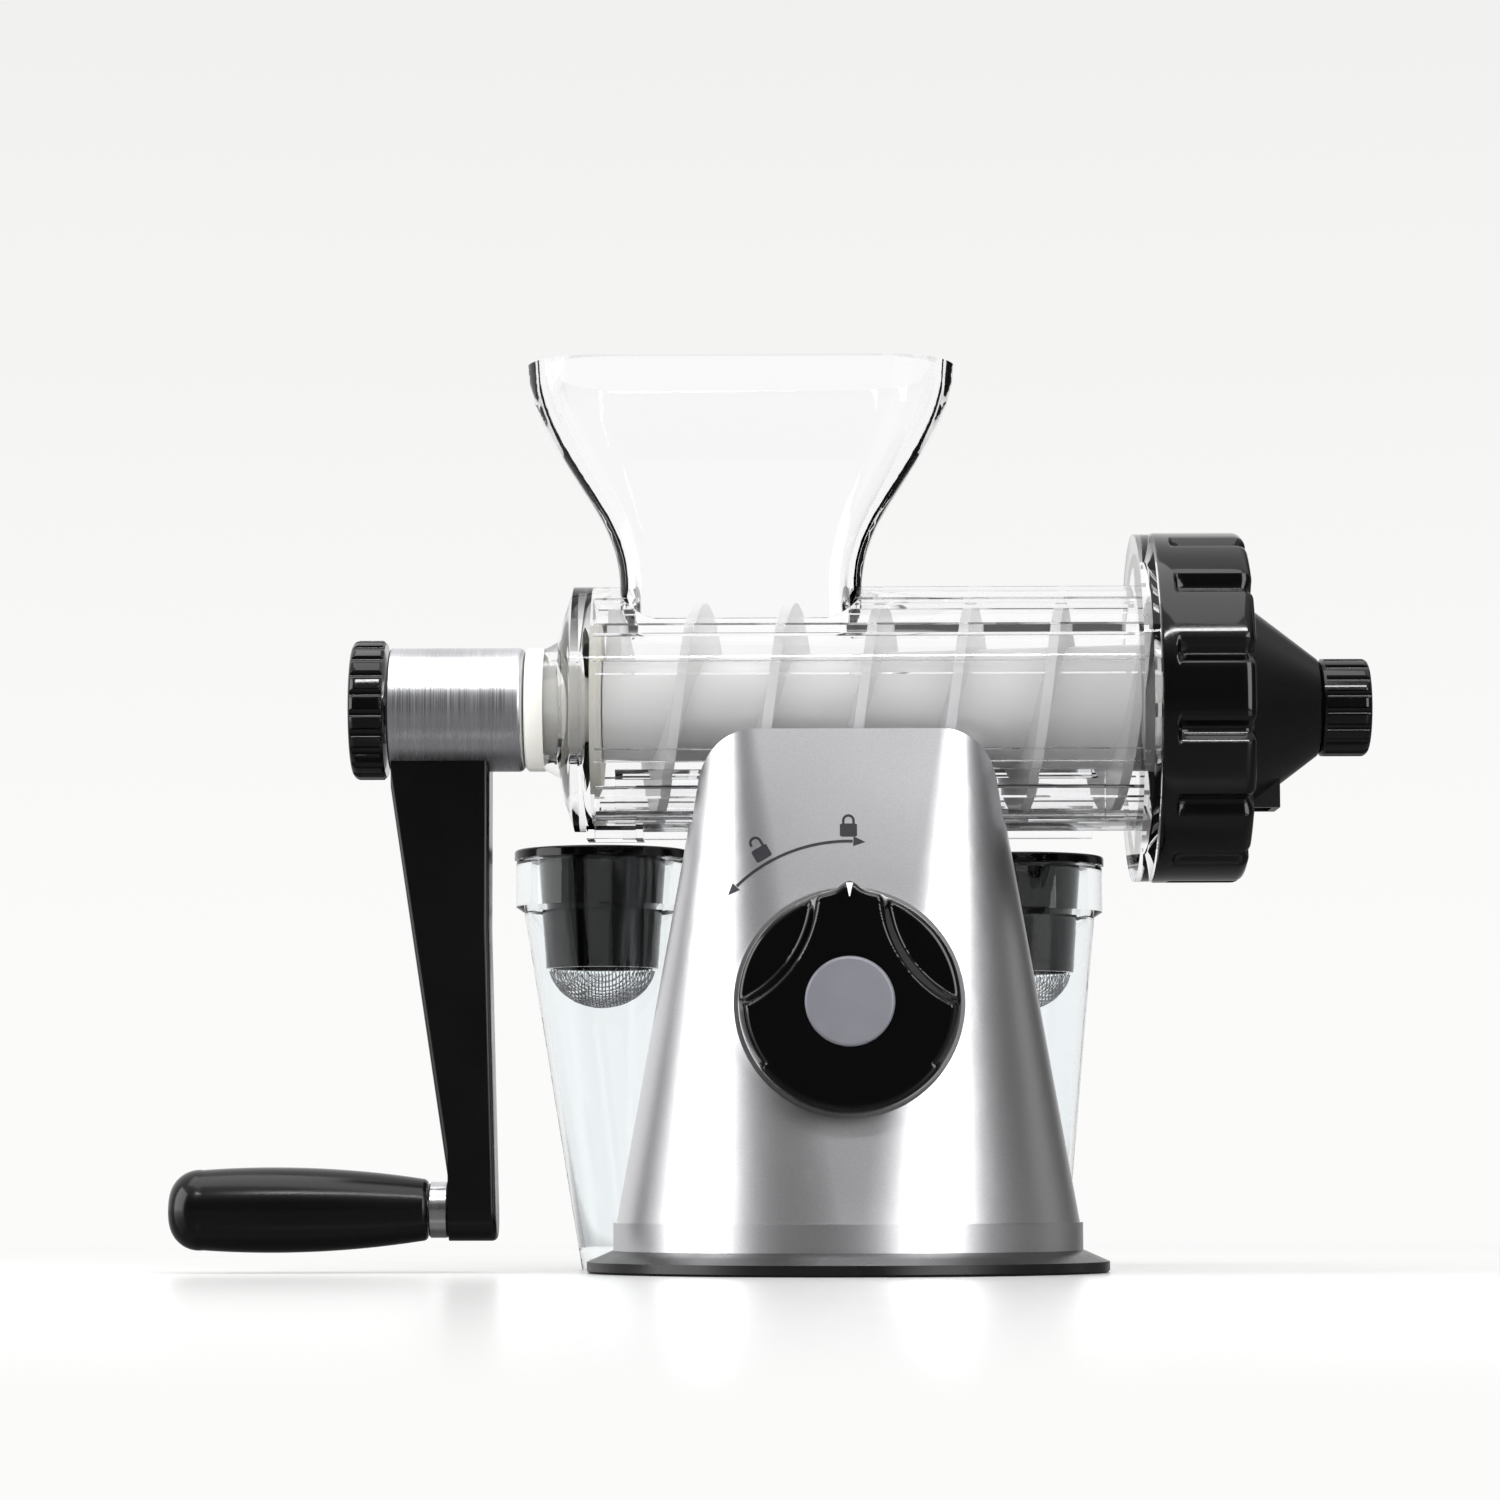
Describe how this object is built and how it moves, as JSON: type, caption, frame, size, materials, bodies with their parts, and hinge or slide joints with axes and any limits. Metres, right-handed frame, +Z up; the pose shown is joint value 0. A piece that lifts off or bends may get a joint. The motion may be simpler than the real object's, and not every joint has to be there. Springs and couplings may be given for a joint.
{
  "type": "manual wheatgrass juicer",
  "caption": "Hand-cranked juicer with a clear hopper and barrel, auger, cone end, suction base with a turning knob, and clear cups with strainers.",
  "frame": {"origin": "on the table, on the axis of the round suction foot", "axes": "+Z up, +X along the barrel towards the cone end, +Y away from the suction knob"},
  "size_m": [0.3182, 0.1834, 0.24],
  "materials": {
    "silver": "satin",
    "black_gloss": "gloss",
    "black_satin": "satin",
    "black_rubber": "matte",
    "grey_cap": "satin",
    "clear": "gloss",
    "cream": "satin",
    "silicone": "satin",
    "white_plastic": "satin",
    "aluminium": "brushed",
    "steel": "satin",
    "plate_plastic": "matte"
  },
  "bodies": {
    "base": {"base_housing": "silver", "base_plate": "plate_plastic", "base_screws": "steel", "suction_foot": "black_rubber", "shaft_bush": "black_satin"},
    "suction_control": {"suction_knob": "black_gloss", "knob_cap": "grey_cap", "knob_screw": "steel", "cam_shaft": "steel", "shaft_clip": "steel"},
    "lifter": {"lifter_rod": "plate_plastic"},
    "juicer_body": {"barrel_body": "clear", "rear_bush": "cream", "shaft_seal": "silicone", "front_gasket": "silicone"},
    "crank": {"auger": "white_plastic", "auger_shaft": "steel", "crank_hub": "aluminium", "crank_arm": "black_satin", "grip_axle": "steel", "grip_ferrule": "aluminium", "grip_clip": "steel"},
    "grip": {"handle_grip": "black_satin"},
    "retaining_washer": {"knob_washer": "steel"},
    "retaining_nut": {"retaining_knob": "black_gloss"},
    "cone": {"end_cap": "black_satin"},
    "ring": {"ring_nut": "black_gloss"},
    "plug": {"pressure_plug": "white_plastic"},
    "adjuster": {"adjusting_knob": "black_gloss", "adjusting_screw": "steel"},
    "left_cup": {"cup_left": "clear"},
    "left_strainer": {"strainer_left": "black_gloss", "mesh_left": "steel"},
    "right_cup": {"cup_right": "clear"},
    "right_strainer": {"strainer_right": "black_gloss", "mesh_right": "steel"}
  },
  "joints": [
    {"name": "suction_knob_turn", "type": "hinge", "parent": "base", "child": "suction_control", "pos_m": [0, -0.06, 0.0689], "axis": [0, -1, 0], "range_deg": [0, 50]},
    {"name": "lifter_slide", "type": "slide", "parent": "base", "child": "lifter", "axis": [0, 0, 1], "range_m": [-0.00401, 0], "deforming": ["suction_foot"]},
    {"name": "body_lift", "type": "slide", "parent": "base", "child": "juicer_body", "axis": [0, 0, 1], "range_m": [0, 0.06]},
    {"name": "crank_turn", "type": "hinge", "parent": "juicer_body", "child": "crank", "pos_m": [0, 0, 0.1493], "axis": [1, 0, 0], "continuous": true},
    {"name": "grip_spin", "type": "hinge", "parent": "crank", "child": "grip", "pos_m": [-0.145, 0, 0.0166], "axis": [1, 0, 0], "continuous": true},
    {"name": "retaining_washer_slide", "type": "slide", "parent": "crank", "child": "retaining_washer", "axis": [-1, 0, 0], "range_m": [0, 0.00625]},
    {"name": "retaining_knob_turn", "type": "hinge", "parent": "retaining_washer", "child": "retaining_nut", "pos_m": [-0.126, 0, 0.1493], "axis": [1, 0, 0], "range_deg": [0, 1801]},
    {"name": "cone_slide", "type": "slide", "parent": "juicer_body", "child": "cone", "axis": [1, 0, 0], "range_m": [0, 0.012]},
    {"name": "ring_nut_turn", "type": "hinge", "parent": "cone", "child": "ring", "pos_m": [0.093, 0, 0.1493], "axis": [1, 0, 0], "range_deg": [0, 1081]},
    {"name": "plug_slide", "type": "slide", "parent": "cone", "child": "plug", "axis": [1, 0, 0], "range_m": [0, 0.004]},
    {"name": "adjusting_knob_turn", "type": "hinge", "parent": "plug", "child": "adjuster", "pos_m": [0.13, 0, 0.1493], "axis": [1, 0, 0], "range_deg": [0, 721]},
    {"name": "left_cup_pull", "type": "slide", "parent": "base", "child": "left_cup", "axis": [0, 1, 0], "range_m": [0, 0.08]},
    {"name": "left_strainer_lift", "type": "slide", "parent": "left_cup", "child": "left_strainer", "axis": [0, 0, 1], "range_m": [0, 0.05]},
    {"name": "right_cup_pull", "type": "slide", "parent": "base", "child": "right_cup", "axis": [0, 1, 0], "range_m": [0, 0.08]},
    {"name": "right_strainer_lift", "type": "slide", "parent": "right_cup", "child": "right_strainer", "axis": [0, 0, 1], "range_m": [0, 0.05]}
  ],
  "couplings": [
    {"joint": "lifter_slide", "follows": "suction_knob_turn", "m_per_rad": -0.0045837},
    {"joint": "retaining_knob_turn", "follows": "retaining_washer_slide", "rad_per_m": 5026.5},
    {"joint": "ring_nut_turn", "follows": "cone_slide", "rad_per_m": 1570.8},
    {"joint": "adjusting_knob_turn", "follows": "plug_slide", "rad_per_m": 3141.6}
  ]
}
